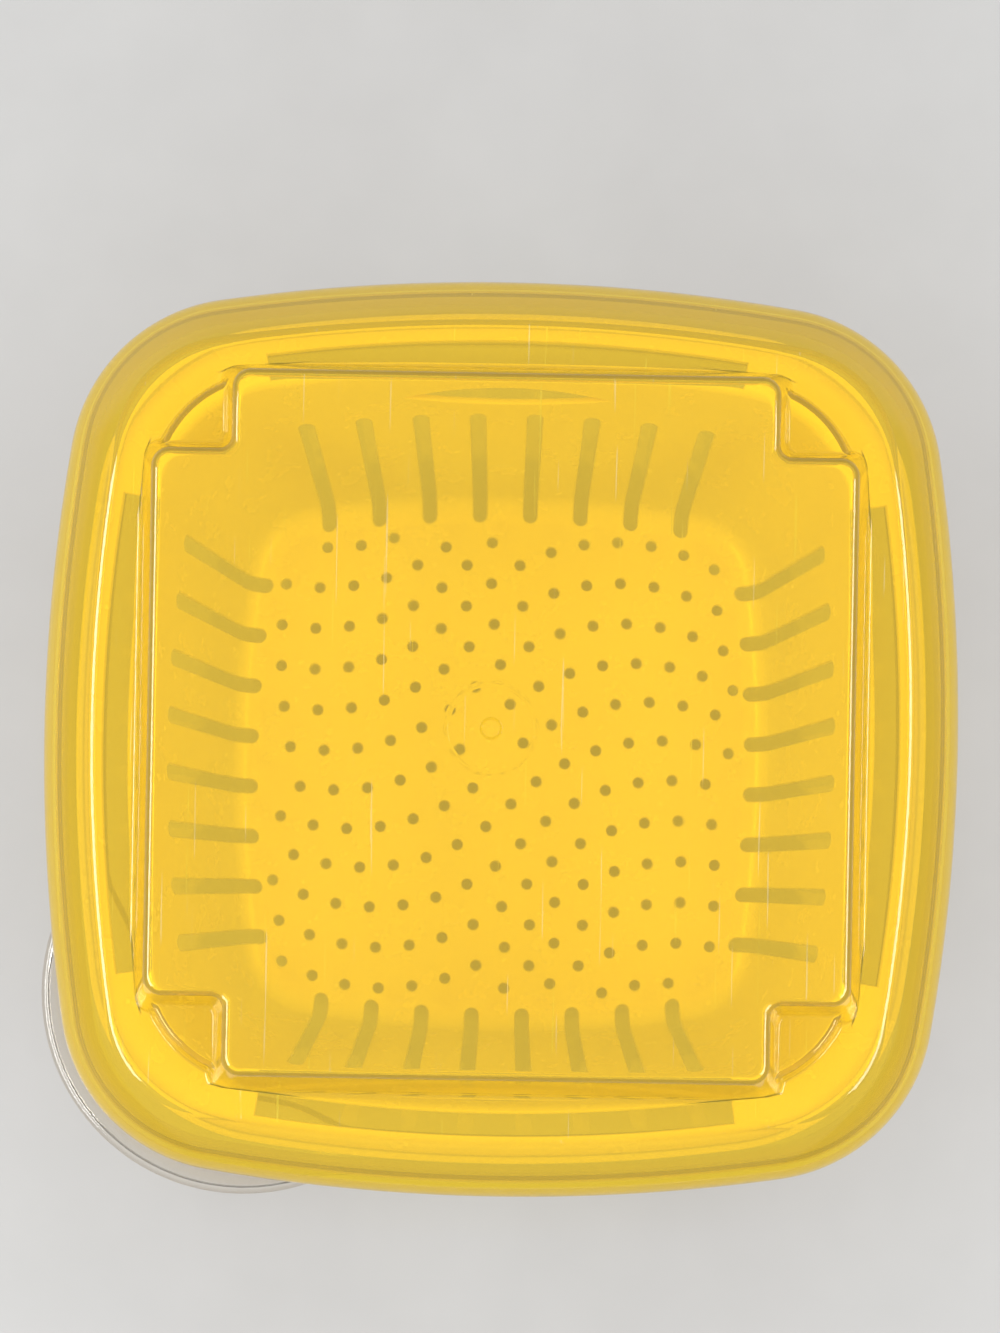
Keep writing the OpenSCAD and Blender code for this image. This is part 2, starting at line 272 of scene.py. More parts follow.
def thickened(points, normals, faces, t, bulge):
    """A closed wall of thickness t about a surface, with every free edge rounded out by bulge."""
    faces = facing(points, normals, faces)
    used = dict.fromkeys((a, b) for f in faces for a, b in zip(f, f[1:] + f[:1]))
    free = [(a, b) for a, b in used if (b, a) not in used]
    n = len(points)
    out = np.zeros_like(points)
    for a, b in free:
        d = points[b] - points[a]
        side = np.cross(d / np.linalg.norm(d), normals[a] + normals[b])
        out[a] += side
        out[b] += side
    edge = np.array(sorted({v for pair in free for v in pair}))
    at = {v: i for i, v in enumerate(edge.tolist())}
    out = out[edge] / np.linalg.norm(out[edge], axis=1)[:, None]
    rows = [edge]
    xyz = [points + normals * t / 2, points - normals * t / 2]
    facings = [normals, -normals]
    for k, tilt in enumerate(math.pi / 2 - half_turn()):
        rows.append(2 * n + k * len(edge) + np.arange(len(edge)))
        xyz.append(points[edge] + out * bulge * math.cos(tilt) + normals[edge] * t / 2 * math.sin(tilt))
        facings.append(out * math.cos(tilt) / bulge + normals[edge] * math.sin(tilt) / (t / 2))
    rows.append(n + edge)
    skin = [list(f) for f in faces] + [[n + v for v in f[::-1]] for f in faces]
    skin += [[upper[at[a]], upper[at[b]], lower[at[b]], lower[at[a]]]
             for a, b in free for upper, lower in zip(rows, rows[1:])]
    return np.concatenate(xyz), np.concatenate(facings), skin


# ---- Materials ----
PLASTIC_IOR = 1.5


class Nodes:
    """Short calls for building one material's node tree."""

    def __init__(self, name):
        self.material = bpy.data.materials.new(name)
        self.material.use_nodes = True
        self.tree = self.material.node_tree
        self.tree.nodes.clear()
        self.place = self.add("ShaderNodeTexCoord").outputs["Object"]

    def add(self, kind, inputs=None, **settings):
        node = self.tree.nodes.new(kind)
        for key, value in settings.items():
            setattr(node, key, value)
        for key, value in (inputs or {}).items():
            if isinstance(value, bpy.types.NodeSocket):
                self.tree.links.new(value, node.inputs[key])
            else:
                node.inputs[key].default_value = value
        return node

    def math(self, operation, a, b=0.0):
        return self.add("ShaderNodeMath", {0: a, 1: b}, operation=operation).outputs[0]

    def ramp(self, value, low, high, to_low=0.0, to_high=1.0):
        return self.add("ShaderNodeMapRange", {
            "Value": value, "From Min": low, "From Max": high, "To Min": to_low, "To Max": to_high}
        ).outputs["Result"]

    def blend(self, factor, a, b):
        """Colour a blended into b. Sockets 6 and 7 are the node's two colours."""
        return self.add("ShaderNodeMix", {0: factor, 6: a, 7: b}, data_type="RGBA").outputs[2]

    def noise(self, scale, detail=3.0, roughness=0.55, place=None):
        return self.add("ShaderNodeTexNoise", {
            "Vector": place or self.place, "Scale": scale, "Detail": detail, "Roughness": roughness}
        ).outputs["Fac"]

    def level(self):
        """1 where a face is level, 0 where it is upright."""
        normal = self.add("ShaderNodeNewGeometry").outputs["True Normal"]
        return self.math("ABSOLUTE", self.add("ShaderNodeSeparateXYZ", {0: normal}).outputs["Z"])

    def turned(self, angle, stretch):
        """Places turned about Z and stretched, for marks that run one way."""
        return self.add("ShaderNodeMapping", {
            "Vector": self.place, "Rotation": Euler((0, 0, angle)), "Scale": Vector(stretch)}
        ).outputs["Vector"]

    def scratches(self, headings, scale, share, slim=0.02, soft=0.02):
        """1 on fine straight marks that run along the headings, 0 between them."""
        marks = None
        for heading in headings:
            lines = self.noise(scale, 2.0, 0.6, self.turned(heading, (1.0, slim, 1.0)))
            mark = self.ramp(lines, 1 - share, 1 - share + soft)
            marks = mark if marks is None else self.math("MAXIMUM", marks, mark)
        return marks

    def plastic(self, colour, rough, clearness, relief, strength, distance):
        """A moulded plastic's surface, with relief as its bump."""
        bump = self.add("ShaderNodeBump", {"Height": relief, "Strength": strength, "Distance": distance})
        return self.add("ShaderNodeBsdfPrincipled", {
            "Base Color": colour, "Roughness": rough, "IOR": PLASTIC_IOR,
            "Transmission Weight": clearness, "Normal": bump.outputs[0]}).outputs[0]

    def see_through(self, shader, tint):
        """The shader for rays that are seen, and a clear tint for rays on their way to a lamp."""
        path = self.add("ShaderNodeLightPath").outputs
        lamp_ray = self.math("MAXIMUM", path["Is Shadow Ray"], path["Is Diffuse Ray"])
        clear = self.add("ShaderNodeBsdfTransparent", {"Color": tint})
        return self.add("ShaderNodeMixShader", {0: lamp_ray, 1: shader, 2: clear.outputs[0]}).outputs[0]

    def done(self, shader, volume=None):
        output = self.add("ShaderNodeOutputMaterial", {"Surface": shader})
        if volume:
            self.tree.links.new(volume, output.inputs["Volume"])
        return self.material


# ---- Bowl ----
BOWL_HALF, _, BOWL_H = box_mm("bowl")[1]
BOWL_T = 2.2
BOWL_FLOOR = 78.0                   # half width of the flat floor
BOWL_FOOT, BOWL_BEND = 93.0, 18.0   # where the wall would meet the floor, and the bend's radius
BOWL_FOOT_R = 26.0                  # radius of the bowl's corners at its foot
WALL_TOP = BOWL_HALF - 10           # where the wall meets the rim
RIM_ROOT_R, RIM_R = 3.0, 1.3        # radii of the rim's bends, up from the wall and down to its edge
SKIRT = 8.0                         # depth of the rim's downturned edge
LIP_Z, LIP_ROOT_Z = 96.0, 84.0      # height of the pouring lip, and where it leaves the wall
LIP_DROP = 2.4                      # depth of its downturned edge
LIP_CENTRE = -73.5                  # both coordinates of the lip's centre
LIP_R = LIP_CENTRE - CAD_BOX[0].x / MM - 0.04   # the lip ends just inside the CAD's box
LIP_FULL = LIP_R - CORNER_R + LID_HALF - BOWL_HALF      # its reach past the rim, at its middle
DISC_RINGS = (1, 0.7, 0.35)         # rings of points in a flat floor, as shares of its edge


def bowl_plastic():
    """Clear, with a faint warm tint. Its floor shades the ground under it more than its wall does."""
    m = Nodes("bowl_plastic")
    colour = m.blend(m.noise(12.0), (0.82, 0.79, 0.73, 1), (0.86, 0.83, 0.77, 1))
    rough = m.ramp(m.noise(70.0), 0.3, 0.7, 0.03, 0.06)
    plastic = m.plastic(colour, rough, clearness=0.94, relief=m.noise(9.0, 1.0), strength=0.1, distance=0.002)
    on_wall, on_floor = (0.78, 0.75, 0.68, 1), (0.50, 0.42, 0.30, 1)
    return m.done(m.see_through(plastic, m.blend(m.ramp(m.level(), 0.8, 0.95), on_wall, on_floor)))


def bowl_line(out):
    """The middle of the bowl's wall where the pouring lip stands out by the share out of its reach."""
    down = min(1.0, 3 * out)        # the edge is all the way down a third of the way out
    sunk = out * out * (3 - 2 * out)        # the rim's root sinks smoothly
    slope = (WALL_TOP - BOWL_FOOT) / (BOWL_H - BOWL_T)
    edge = (BOWL_HALF - BOWL_T / 2, BOWL_H - BOWL_T / 2)
    root = (BOWL_FOOT + slope * (LIP_ROOT_Z - BOWL_T / 2), LIP_ROOT_Z)
    lip = (edge[0] + out * LIP_FULL, mix(edge[1], LIP_Z - BOWL_T / 2, down))
    return rounded_line([
        (BOWL_FLOOR, BOWL_T / 2), (BOWL_FOOT, BOWL_T / 2, BOWL_BEND),
        (mix(WALL_TOP, root[0], sunk), mix(edge[1], root[1], sunk), RIM_ROOT_R),
        (*lip, RIM_R), (lip[0], lip[1] - mix(SKIRT, LIP_DROP, down))])


def wall_loop(line, t):
    """From the line's start, up its right side, round its end and back on its left."""
    right, left = beside(line, -t / 2), beside(line, t / 2)[::-1]
    d = tangents(line)[-1]
    side = np.array([d[1], -d[0]])
    depth = t / 4                   # the rounded end is half as deep as a half circle
    bends = half_turn()[:, None]
    end = line[-1] - d * depth + np.cos(bends) * side * t / 2 + np.sin(bends) * d * depth
    right[-1] -= d * depth
    left[0] -= d * depth
    return np.concatenate([right, end, left])


def lip_reach(points, out):
    """How far the pouring lip stands out at each station of the rim, as a share of LIP_FULL."""
    from_centre = points - LIP_CENTRE
    along = (from_centre * out).sum(1)
    root = LIP_R ** 2 - (from_centre ** 2).sum(1) + along ** 2
    reach = np.sqrt(np.maximum(root, 0)) - along + LID_HALF - BOWL_HALF
    elsewhere = (out.sum(1) > 0) | (root < 0)
    return np.maximum(np.where(elsewhere, 0, reach), 0) / LIP_FULL


def bowl_rings():
    """Rings of points from the underside's edge, up the outside and down the inside to the floor."""
    shares = lip_reach(*square(LID_HALF, SIDE_BOW, CORNER_R))
    loops = np.array([wall_loop(bowl_line(share), BOWL_T) for share in shares])
    top_r = CORNER_R - LID_HALF + WALL_TOP
    rings = []
    for half, z in loops.transpose(1, 2, 0):
        up = (half - BOWL_FLOOR) / (WALL_TOP - BOWL_FLOOR)
        r = np.where(half > WALL_TOP, CORNER_R - LID_HALF + half, mix(BOWL_FOOT_R, top_r, up))
        points, _ = square(half, half + SIDE_BOW - LID_HALF, r)
        rings.append(np.column_stack([points, z]))
    return np.array(rings)


def make_bowl():
    rings = bowl_rings()
    along_ring = np.roll(rings, -1, 1) - np.roll(rings, 1, 1)
    normals = np.cross(along_ring, np.gradient(rings, axis=0))
    normals /= np.linalg.norm(normals, axis=2)[:, :, None]
    skin = Skin()
    n = rings.shape[1]
    skin.add(rings.reshape(-1, 3), normals.reshape(-1, 3), strips(len(rings), n))
    last = len(DISC_RINGS) * n      # a disc's middle point comes after its rings
    faces = strips(len(DISC_RINGS), n) + [[last - n + i, last - n + (i + 1) % n, last] for i in range(n)]
    for ring, up in ((rings[0], -1.0), (rings[-1], 1.0)):
        centre = (0, 0, ring[0, 2])
        disc = np.concatenate([ring * (s, s, 0) + centre for s in DISC_RINGS] + [[centre]])
        skin.add(disc, np.tile((0, 0, up), (len(disc), 1)), faces)
    piece("bowl_shell", *skin.welded(), bowl_plastic(), "bowl")


# ---- Basket ----
BASKET_LOW, BASKET_HIGH = box_mm("basket")
BASKET_HALF, BASKET_BOW, BASKET_CORNER = 104.0, 450.0, 38.0     # of the wall's inside, at the rim
BASKET_T = 2.0
FLOOR_TOP = BASKET_LOW[2] + BASKET_T
FLOOR_EDGE = 83.2                   # the flat floor ends here, from the middle
BASKET_FOOT, BASKET_FOOT_R = 91.0, 9.0      # where the wall would meet the floor, and the bend's radius
RIM_LIP = 2.0                       # height of the rim's upturned edge
RIM_Z = BASKET_HIGH[2] - RIM_LIP
WALL_BEND_R, LIP_BEND_R = 2.0, 1.2  # radii of the rim's bends, up from the wall and up to its edge
LONGEST = 7.0                       # the longest step of the basket's profile
SLOTS, SLOT_PITCH, SLOT_W = 8, 17.3, 4.8
SLOT_START, SLOT_TOP = 84.0, 80.0   # a slot starts this far from the middle and ends at this height
SLOT_END_STEPS, SLOT_CLEAR = 8, 0.2     # steps round a slot's end, and how close a row comes to it
OPENING = (106.0, 112.9, 73.5)      # a rim opening's inner and outer edge, and its half length
OPENING_R = 0.9
GRIP = (30.5, 4.0, 89.5)            # half length, half height and height of a grip slot
GRIP_STEPS = 20
HOLE_R = 1.85
HOLE_STEPS = 14
HOLE_SLACK = 0.12                   # the sides of a hole pass less than this inside its circle
BULGE = 0.35                        # how far a cut edge is rounded out
# The drain holes stand on rows that each bend as an S. The rows' middles stand on another S.
ROW_R, ROW_STEP, ROW_HEADING = 70.0, 9.55, 47.5
COLUMN_R, COLUMN_STEP, COLUMN_HEADING = 165.0, 4.9, -68.0
FIELD_CENTRE = np.array([-1.0, 0.0])
FIELD_HALF, FIELD_R = 80.5, 26.0
BLANK_ROWS = (-1, 0)                # the middle hole is left out of these rows
MOST_ROWS, MOST_HOLES = 7, 11       # tried to each side of the middle, before the field cuts them


def basket_plastic():
    """Dense yellow with a slightly grainy surface."""
    m = Nodes("basket_plastic")
    colour = m.blend(m.noise(20.0), (0.94, 0.81, 0.15, 1), (0.96, 0.85, 0.18, 1))
    rough = m.ramp(m.noise(90.0), 0.3, 0.7, 0.2, 0.3)
    plastic = m.plastic(colour, rough, clearness=0.18, relief=m.noise(220.0), strength=0.06, distance=0.001)
    return m.done(m.see_through(plastic, (0.60, 0.36, 0.05, 1)))


def on_s(r, heading, degrees):
    """A point on an S of two equal arcs, so many degrees along it from its middle."""
    h, a = math.radians(heading), math.radians(degrees)
    ahead = np.array([math.cos(h), math.sin(h)])
    aside = np.array([math.sin(h), -math.cos(h)])
    return math.copysign(1, a) * r * (math.sin(abs(a)) * ahead + (1 - math.cos(a)) * aside)


def drain_holes():
    """The centres of the drain holes."""
    for row in range(-MOST_ROWS, MOST_ROWS + 1):
        for i in range(-MOST_HOLES, MOST_HOLES + 1):
            p = (FIELD_CENTRE + on_s(COLUMN_R, COLUMN_HEADING, row * COLUMN_STEP)
                 + on_s(ROW_R, ROW_HEADING, i * ROW_STEP))
            past = np.maximum(np.abs(p) - FIELD_HALF + FIELD_R, 0)
            if (np.abs(p).max() < FIELD_HALF and np.hypot(*past) < FIELD_R
                    and not (i == 0 and row in BLANK_ROWS)):
                yield p


def circle(centre, r, steps):
    a = np.arange(steps) * 2 * math.pi / steps
    return np.asarray(centre) + r * np.stack([np.cos(a), np.sin(a)], 1)


BASKET_LINE = divided(rounded_line([
    (FLOOR_EDGE, FLOOR_TOP - BASKET_T / 2),
    (BASKET_FOOT, FLOOR_TOP - BASKET_T / 2, BASKET_FOOT_R),
    (BASKET_HALF + BASKET_T / 2, RIM_Z - BASKET_T / 2, WALL_BEND_R),
    (BASKET_HIGH[0] - BASKET_T / 2, RIM_Z - BASKET_T / 2, LIP_BEND_R),
    (BASKET_HIGH[0] - BASKET_T / 2, RIM_Z + RIM_LIP - BULGE)]), LONGEST)
BASKET_RUN = np.concatenate([[0], np.cumsum(np.linalg.norm(np.diff(BASKET_LINE, axis=0), axis=1))])


def run_at(column, value):
    """How far along the basket's line it first reaches an x (column 0) or a z (column 1)."""
    reached = np.maximum.accumulate(BASKET_LINE[:, column])
    keep = np.concatenate([[True], np.diff(reached) > 1e-6])
    return np.interp(value, reached[keep], BASKET_RUN[keep])


def on_side(y, run):
    """The plan point (arc length at the bow's radius, run) of a wall point at y along its side."""
    x = np.interp(run, BASKET_RUN, BASKET_LINE[:, 0])
    return np.stack([np.arcsin(y / (BASKET_BOW + x - BASKET_HALF)) * BASKET_BOW, run], 1)


def slot_loop(y):
    """The plan outline of the slot at y, with round ends."""
    w = SLOT_W / 2 + BULGE
    low, high = run_at(0, SLOT_START - BULGE) + w, run_at(1, SLOT_TOP + BULGE) - w
    between = BASKET_RUN[(BASKET_RUN > low + SLOT_CLEAR) & (BASKET_RUN < high - SLOT_CLEAR)]
    up = np.concatenate([[low], between, [high]])
    a = half_turn(SLOT_END_STEPS)
    return np.concatenate([
        on_side(np.full(len(up), y + w), up),
        on_side(y + w * np.cos(a), high + w * np.sin(a)),
        on_side(np.full(len(up), y - w), up[::-1]),
        on_side(y - w * np.cos(a), low - w * np.sin(a))])


def opening_loop():
    """The plan outline of a side's rim opening."""
    inner, outer = run_at(0, OPENING[0] - BULGE), run_at(0, OPENING[1] + BULGE)
    half = math.asin(OPENING[2] / (BASKET_BOW + OPENING[0] - BASKET_HALF)) * BASKET_BOW + BULGE
    ends = ((-half, inner), (half, inner), (half, outer), (-half, outer))
    corners = [(along, run, OPENING_R) for along, run in ends]
    return divided(rounded_loop(corners, steps=4), longest=6.0, closed=True)


def grip_loop():
    """The plan outline of a grip slot, which is pointed at both ends."""
    half, high, z = GRIP[0] + BULGE, GRIP[1] + BULGE, GRIP[2]
    y = half * np.cos(np.linspace(0, math.pi, GRIP_STEPS + 1))
    r = (half ** 2 + high ** 2) / (2 * high)
    rise = np.sqrt(r * r - y * y) - r + high
    return np.concatenate([on_side(y, run_at(1, z + rise)), on_side(y[::-1], run_at(1, z - rise))[1:-1]])


def side_panel(grip):
    """The plan of one side of the basket, from the floor's edge to the rim: points and triangles."""
    half = square_arcs(BASKET_HALF, BASKET_BOW, BASKET_CORNER)[1] * BASKET_BOW
    along = np.linspace(-half, half, SIDE_STEPS + 1)
    top = BASKET_RUN[-1]
    edge = np.concatenate([
        np.stack([along, np.zeros_like(along)], 1),
        np.stack([np.full(len(BASKET_RUN) - 2, half), BASKET_RUN[1:-1]], 1),
        np.stack([along[::-1], np.full_like(along, top)], 1),
        np.stack([np.full(len(BASKET_RUN) - 2, -half), BASKET_RUN[-2:0:-1]], 1)])
    holes = [slot_loop((i - (SLOTS - 1) / 2) * SLOT_PITCH) for i in range(SLOTS)] + [opening_loop()]
    if grip:
        holes.append(grip_loop())
    rows = [np.array([(-half, run), (half, run)]) for run in BASKET_RUN[1:-1]]
    posts = [np.array([(a, 0), (a, top)]) for a in along[2:-2:2]]
    xy, faces = triangles([edge] + holes, rows + posts)
    middle = xy[faces].mean(1)
    for hole in holes:
        out = ~inside(hole, middle)
        faces, middle = faces[out], middle[out]
    return xy, faces


def basket_side(plan, turn):
    """A side's plan points in space, with their normals, on the side that faces turn."""
    t = tangents(BASKET_LINE)
    x, z, nx, nz = (np.interp(plan[:, 1], BASKET_RUN, v) for v in (*BASKET_LINE.T, -t[:, 1], t[:, 0]))
    angle = plan[:, 0] / BASKET_BOW + turn
    out = np.stack([np.cos(angle), np.sin(angle)], 1)
    middle = (BASKET_HALF - BASKET_BOW) * np.array([math.cos(turn), math.sin(turn)])
    place = middle + (BASKET_BOW + x - BASKET_HALF)[:, None] * out
    return np.column_stack([place, z]), np.column_stack([nx[:, None] * out, nz])


def basket_corners(points, out):
    """The line swept round the four corners, which have no slots."""
    n, per_quarter = len(points), SIDE_STEPS + CORNER_STEPS
    xyz, normals, faces = swept(BASKET_LINE, points, out, BASKET_HALF)
    return xyz, -normals, [
        f for f in faces if min(f[0] % n % per_quarter, per_quarter - 1) >= SIDE_STEPS]


def basket_floor(points, out):
    """The flat floor with its drain holes."""
    ring = points + (FLOOR_EDGE - BASKET_HALF) * out
    r = HOLE_R + BULGE
    xy, faces = triangles([ring] + [circle(p, r, HOLE_STEPS) for p in drain_holes()])
    middle = xy[faces].mean(1)
    for p in drain_holes():
        keep = np.hypot(*(middle - p).T) > r - HOLE_SLACK
        faces, middle = faces[keep], middle[keep]
    xyz = np.column_stack([xy, np.full(len(xy), BASKET_LINE[0, 1])])
    return xyz, np.tile((0, 0, 1.0), (len(xy), 1)), faces


def make_basket():
    skin = Skin()
    plans = {grip: side_panel(grip) for grip in (False, True)}
    for k in range(4):
        xy, faces = plans[k % 2 == 1]
        skin.add(*basket_side(xy, k * math.pi / 2), faces)
    stations = square(BASKET_HALF, BASKET_BOW, BASKET_CORNER)
    skin.add(*basket_corners(*stations))
    skin.add(*basket_floor(*stations))
    points, normals, faces = skin.welded()
    used = sorted({v for f in faces for v in f})
    index = {v: i for i, v in enumerate(used)}
    faces = [[index[v] for v in f] for f in faces]
    shell = thickened(points[used], normals[used], faces, BASKET_T, BULGE)
    piece("basket_shell", *shell, basket_plastic(), "basket")


# ---- Lid ----
LID_T = 1.6
TOP_RISE, STEP_RISE = 14.0, 6.0     # heights of the raised top and of the steps above the flange
LEAN = 0.5                          # how far their walls lean in for each unit of height
LID_EDGE_Z = LID_LOW[2]
FLANGE_Z = LID_HIGH[2] - TOP_RISE
FLANGE_INNER = 102.0                # the flange is flat from here to the foot of the steps
EDGE_DEPTH = 0.4                    # how far the lower edge is rounded down
SLOPE_FOOT, SLOPE_FOOT_R = 6.5, 12.0    # height of the upright lower band, and its bend's radius
SLOPE_TOP, SLOPE_TOP_R = 110.0, 5.0     # where the slope meets the flange, and its bend's radius
RIB = (121.0, 122.4, 100.1)         # the rib's faces, from the middle, and its foot's height
RIB_ROOT_R, RIB_EDGE_R = 0.7, 0.5
PLUS_END, PLUS_SIDE = 98.0, 77.3    # half length and half width of the raised top's arms
ARM_R, INNER_R = 5.0, 3.0           # radii of the arms' corners, and of the corners between arms
STEP_HALF, STEP_R = 96.0, 33.0      # half width of the steps' outline, and its corners' radius
STEP_CLEAR = 4.5                    # a step's edges stop this far inside the raised top
MEET_R = 1.2                        # radius of the bend where a step meets the raised top's wall
FINE = 60                           # steps in a wall's bends, where its height is read
BEND_PARTS = 5                      # edges run along a bend at so many equal parts
GUARD = 0.35                        # flat faces begin this far past a bend
GATE = np.array([-2.6, -0.7])       # the moulding's gate mark
MARKS = ((2.6, 0.4, 0.55), (11.6, 0.8, 0.25))   # radius, half width and depth of two ring grooves
MARK_RINGS = (-1.2, -1, -0.5, 0, 0.5, 1, 1.2)   # edges along a groove, as shares of its half width
MARK_STEPS = 48
SCRATCHES = (0.35, 1.3, 2.3, 2.9)   # headings of the scratches, in radians


def lid_plastic():
    """Clear yellow with fine scratches, a little cloudier from the flange down, with a painted shade
    darkening its colour there. The colour deepens with the length of plastic that is looked through, so the
    edges look darker."""
    m = Nodes("lid_plastic")
    level_faces = m.ramp(m.level(), 0.9, 0.98)
    marks = m.math("MULTIPLY", m.scratches(SCRATCHES, 700.0, 0.27), level_faces)
    height = m.add("ShaderNodeSeparateXYZ", {0: m.place}).outputs["Z"]
    upper = m.ramp(height, (FLANGE_Z - 2.0) * MM, (FLANGE_Z + 1.2) * MM)
    pale = m.blend(m.noise(14.0), (1.0, 0.75, 0.09, 1), (1.0, 0.79, 0.12, 1))
    # The first colour on the next line is a painted shade. It colours the lid darker from the flange down,
    # standing in for the slope and skirt looking darker from above.
    painted_slope_shade, worn = (0.80, 0.61, 0.06, 1), (1.0, 0.94, 0.62, 1)
    colour = m.blend(marks, m.blend(upper, painted_slope_shade, pale), worn)
    rough = m.math("ADD", m.ramp(m.noise(60.0), 0.3, 0.7, 0.03, 0.06), m.math("MULTIPLY", marks, 0.12))
    waves = m.math("MULTIPLY", m.noise(9.0, 1.0), 0.5)
    relief = m.math("SUBTRACT", waves, m.math("MULTIPLY", marks, 0.2))
    clearness = m.ramp(upper, 0.0, 1.0, 0.70, 0.84)
    plastic = m.plastic(colour, rough, clearness, relief, strength=0.02, distance=0.001)
    depth = m.add("ShaderNodeVolumeAbsorption", {"Color": (0.895, 0.842, 0.15, 1), "Density": 600.0})
    return m.done(m.see_through(plastic, (1.0, 0.98, 0.50, 1)), depth.outputs[0])


def lid_path():
    """From under the flange, down the inside, round the lower edge and up the outside."""
    foot = LID_EDGE_Z + EDGE_DEPTH
    middle = rounded_line([
        (LID_HALF - LID_T / 2, foot),
        (LID_HALF - LID_T / 2, LID_EDGE_Z + SLOPE_FOOT, SLOPE_FOOT_R),
        (SLOPE_TOP, FLANGE_Z - LID_T / 2, SLOPE_TOP_R),
        (FLANGE_INNER, FLANGE_Z - LID_T / 2)])
    within, outside = beside(middle, LID_T / 2), beside(middle, -LID_T / 2)
    low, high = within[ARC_STEPS + 1], within[ARC_STEPS + 2]    # the ends of the slope's inner face
    roots = [mix(low[1], high[1], (low[0] - x) / (low[0] - high[0])) for x in RIB[:2]]
    rib = rounded_line([
        low, (RIB[1], roots[1], RIB_ROOT_R), (RIB[1], RIB[2], RIB_EDGE_R), (RIB[0], RIB[2], RIB_EDGE_R),
        (RIB[0], roots[0], RIB_ROOT_R), high], steps=3)
    within = np.concatenate([within[:ARC_STEPS + 1], rib, within[ARC_STEPS + 3:]])
    bends = half_turn()
    edge = np.stack([LID_HALF - LID_T / 2 - LID_T / 2 * np.cos(bends), foot - EDGE_DEPTH * np.sin(bends)], 1)
    return np.concatenate([within[::-1], edge, outside])


def corner_min(a, b, r):
    """The lesser of two insets, with the corner between them rounded to r at every level."""
    near = np.abs(a - b) < r
    return np.where(near, (a + b) / 2 - r + np.sqrt(np.maximum(2 * r * r - (a - b) ** 2, 0)) / 2,
                    np.minimum(a, b))


def plus_inset(x, y):
    """How far a place lies inside the foot of the raised top."""
    across = corner_min(PLUS_END - abs(x), PLUS_SIDE - abs(y), ARM_R)
    upright = corner_min(PLUS_SIDE - abs(x), PLUS_END - abs(y), ARM_R)
    return -corner_min(-across, -upright, INNER_R)


def step_inset(x, y):
    """How far a place lies inside the foot of the steps."""
    a, b = STEP_HALF - abs(x), STEP_HALF - abs(y)
    corner = STEP_R - np.hypot(np.maximum(STEP_R - a, 0), np.maximum(STEP_R - b, 0))
    return np.where(np.minimum(a, b) < STEP_R, corner, np.minimum(a, b))


def wall_rise(rise, foot_r, edge_r):
    """A leaning wall from the flange up to a flat top: points of (inset, height)."""
    outside, within = -20, 100      # far past the wall, on the flange and on the top
    return rounded_line([(outside, 0), (0, 0, foot_r), (LEAN * rise, rise, edge_r), (within, rise)], FINE)


def insets(wall):
    """Where edges run along a wall: at both ends of its bends, just past them, and within them."""
    bends = wall[1:-1, 0]
    foot, edge = bends[:FINE + 1:FINE // BEND_PARTS], bends[FINE + 1::FINE // BEND_PARTS]
    return [foot[0] - GUARD, *foot, *edge, edge[-1] + GUARD]


PLUS_WALL = wall_rise(TOP_RISE, foot_r=2.2, edge_r=3.4)
STEP_WALL = wall_rise(STEP_RISE, foot_r=1.5, edge_r=2.0)
PLUS_INSETS = insets(PLUS_WALL) + [2.0, 2.6, 3.2, 3.8, 4.4]     # with more within its wall, for the corners


def marks_depth(x, y):
    """Depth of the two ring grooves about the gate mark."""
    far = np.hypot(x - GATE[0], y - GATE[1])
    return sum(depth * (1 + np.cos(np.pi * np.clip((far - r) / half, -1, 1))) / 2
               for r, half, depth in MARKS)


def lid_rise(x, y, marks=True):
    """Height of the lid's top above its flange."""
    plus = np.interp(plus_inset(x, y), *PLUS_WALL.T)
    step = np.interp(step_inset(x, y), *STEP_WALL.T)
    rise = -corner_min(-plus, -step, np.minimum(MEET_R, np.minimum(plus, step)))
    return rise - (marks_depth(x, y) if marks else 0)


def lid_normals(x, y, marks=True, e=0.02):
    """Unit normals of the lid's top, from its heights a distance e to each side."""
    dx = (lid_rise(x + e, y, marks) - lid_rise(x - e, y, marks)) / (2 * e)
    dy = (lid_rise(x, y + e, marks) - lid_rise(x, y - e, marks)) / (2 * e)
    n = np.stack([-dx, -dy, np.ones_like(dx)], 1)
    return n / np.linalg.norm(n, axis=1)[:, None]


def plus_loop(inset):
    """The raised top's outline, that far in from its foot."""
    e, w = PLUS_END - inset, PLUS_SIDE - inset
    corners = []
    for c, s in ((1, 0), (0, 1), (-1, 0), (0, -1)):
        for x, y, r in ((e, -w, ARM_R), (e, w, ARM_R), (w, w, INNER_R)):
            corners.append((x * c - y * s, x * s + y * c, r))
    return divided(rounded_loop(corners, steps=8), longest=9.0, closed=True)


def step_lines(inset):
    """The stretches of a step's outline that the raised top doesn't cover."""
    h, r = STEP_HALF - inset, STEP_R - inset
    loop = rounded_loop([(h, -h, r), (h, h, r), (-h, h, r), (-h, -h, r)], steps=40)
    clear = plus_inset(*loop.T) < STEP_CLEAR
    runs = np.split(np.arange(len(loop)), np.nonzero(np.diff(clear))[0] + 1)
    return [loop[run] for run in runs if clear[run[0]] and len(run) > 1]


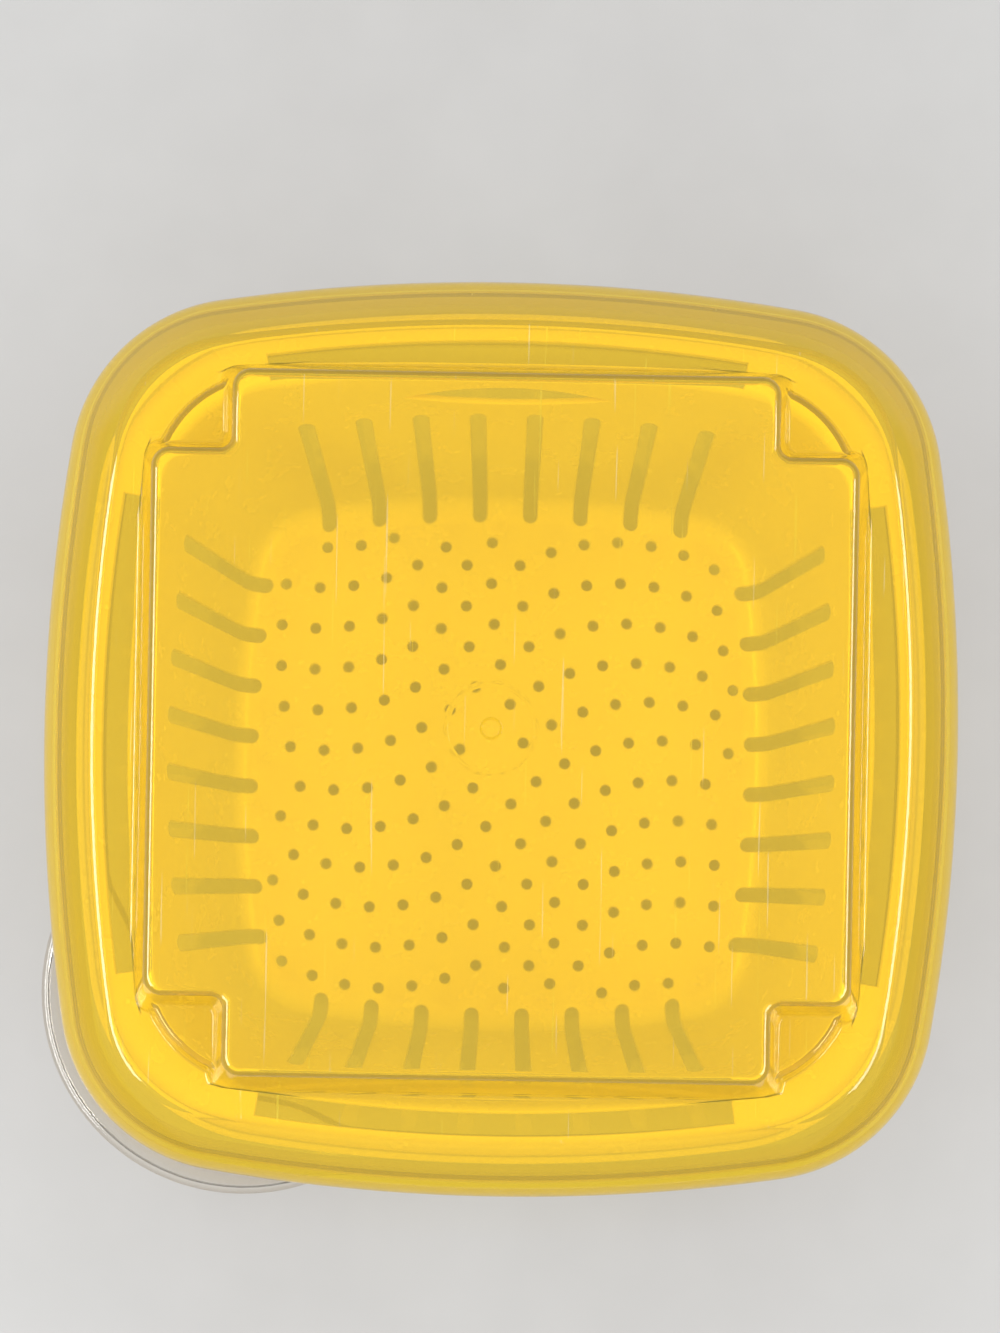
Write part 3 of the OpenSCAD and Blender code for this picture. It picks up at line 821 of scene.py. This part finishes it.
def make_lid():
    points, out = square(LID_HALF, SIDE_BOW, CORNER_R)
    skin = Skin()
    skin.add(*swept(lid_path(), points, out, LID_HALF))
    loops = [points + (FLANGE_INNER - LID_HALF) * out]
    loops += [plus_loop(inset) for inset in PLUS_INSETS]
    loops += [circle(GATE, r + half * share, MARK_STEPS) for r, half, _ in MARKS for share in MARK_RINGS]
    lines = [line for inset in insets(STEP_WALL) for line in step_lines(inset)]
    xy, faces = triangles(loops, lines)
    x, y = xy.T
    skin.add(np.column_stack([xy, FLANGE_Z + lid_rise(x, y)]), lid_normals(x, y), faces)
    plain = lid_normals(x, y, marks=False)
    under = np.column_stack([xy, FLANGE_Z + lid_rise(x, y, marks=False)]) - LID_T * plain
    skin.add(under, -plain, faces)
    piece("lid_shell", *skin.welded(), lid_plastic(), "lid")


# ---- Stage, in metres ----
FLOOR_HALF = 3.0
FLOOR_Z = -0.0004                   # just clear of the bowl's underside
LAMPS_AIM = Vector((0, 0, 0.06))    # about the object's middle


def make_stage():
    mesh = bpy.data.meshes.new("floor")
    corners = [(-1, -1), (1, -1), (1, 1), (-1, 1)]
    mesh.from_pydata([(x * FLOOR_HALF, y * FLOOR_HALF, FLOOR_Z) for x, y in corners], [], [(0, 1, 2, 3)])
    m = Nodes("floor_paint")
    colour = m.blend(m.noise(30.0), (0.37, 0.366, 0.358, 1), (0.40, 0.396, 0.388, 1))
    paint = m.add("ShaderNodeBsdfPrincipled", {"Base Color": colour, "Roughness": 0.65})
    mesh.materials.append(m.done(paint.outputs[0]))
    floor = bpy.data.objects.new("floor", mesh)
    bpy.context.scene.collection.objects.link(floor)


def lamp(name, place, size, watts, mirrored=True):
    """A soft rectangular lamp, aimed at the object's middle. Where it isn't mirrored, it lights the
    plastics but isn't seen in them."""
    data = bpy.data.lights.new(name, "AREA")
    data.shape = "RECTANGLE"
    data.size, data.size_y = size
    data.energy = watts
    obj = bpy.data.objects.new(name, data)
    obj.location = place
    obj.rotation_euler = (LAMPS_AIM - Vector(place)).to_track_quat("-Z", "Y").to_euler()
    obj.visible_glossy = obj.visible_transmission = mirrored
    bpy.context.scene.collection.objects.link(obj)


def make_lights():
    world = bpy.data.worlds.new("studio")
    world.use_nodes = True
    background = world.node_tree.nodes["Background"]
    background.inputs["Color"].default_value = (0.95, 0.97, 1.0, 1)
    background.inputs["Strength"].default_value = 0.40
    bpy.context.scene.world = world
    lamp("left_strip", (-1.0, -0.12, 0.72), (1.3, 0.3), 12)
    lamp("right_strip", (1.0, -0.12, 0.72), (1.3, 0.3), 10)
    lamp("front", (0.0, -1.0, 0.7), (0.8, 0.3), 5, mirrored=False)
    lamp("back", (0.0, 1.0, 0.7), (0.8, 0.3), 5, mirrored=False)
    lamp("overhead", (0.0, 0.0, 1.5), (0.9, 0.9), 9, mirrored=False)


def make_camera():
    """Straight down, from a little in front of the middle, with the frame shifted up."""
    data = bpy.data.cameras.new("camera")
    data.sensor_width = 36.0
    data.lens = 33.76
    data.shift_y = 0.162
    data.clip_start = 0.01
    camera = bpy.data.objects.new("camera", data)
    camera.location = (0.0004, -0.0404, 0.4563)
    camera.rotation_euler = (0, 0, math.radians(1.0))
    bpy.context.scene.collection.objects.link(camera)
    bpy.context.scene.camera = camera


make_camera()
make_stage()
make_lights()
make_bowl()
make_basket()
make_lid()

scene = bpy.context.scene
scene.view_settings.view_transform = "Standard"
scene.cycles.transparent_max_bounces = 24
scene.cycles.transmission_bounces = 16
scene.cycles.max_bounces = 20
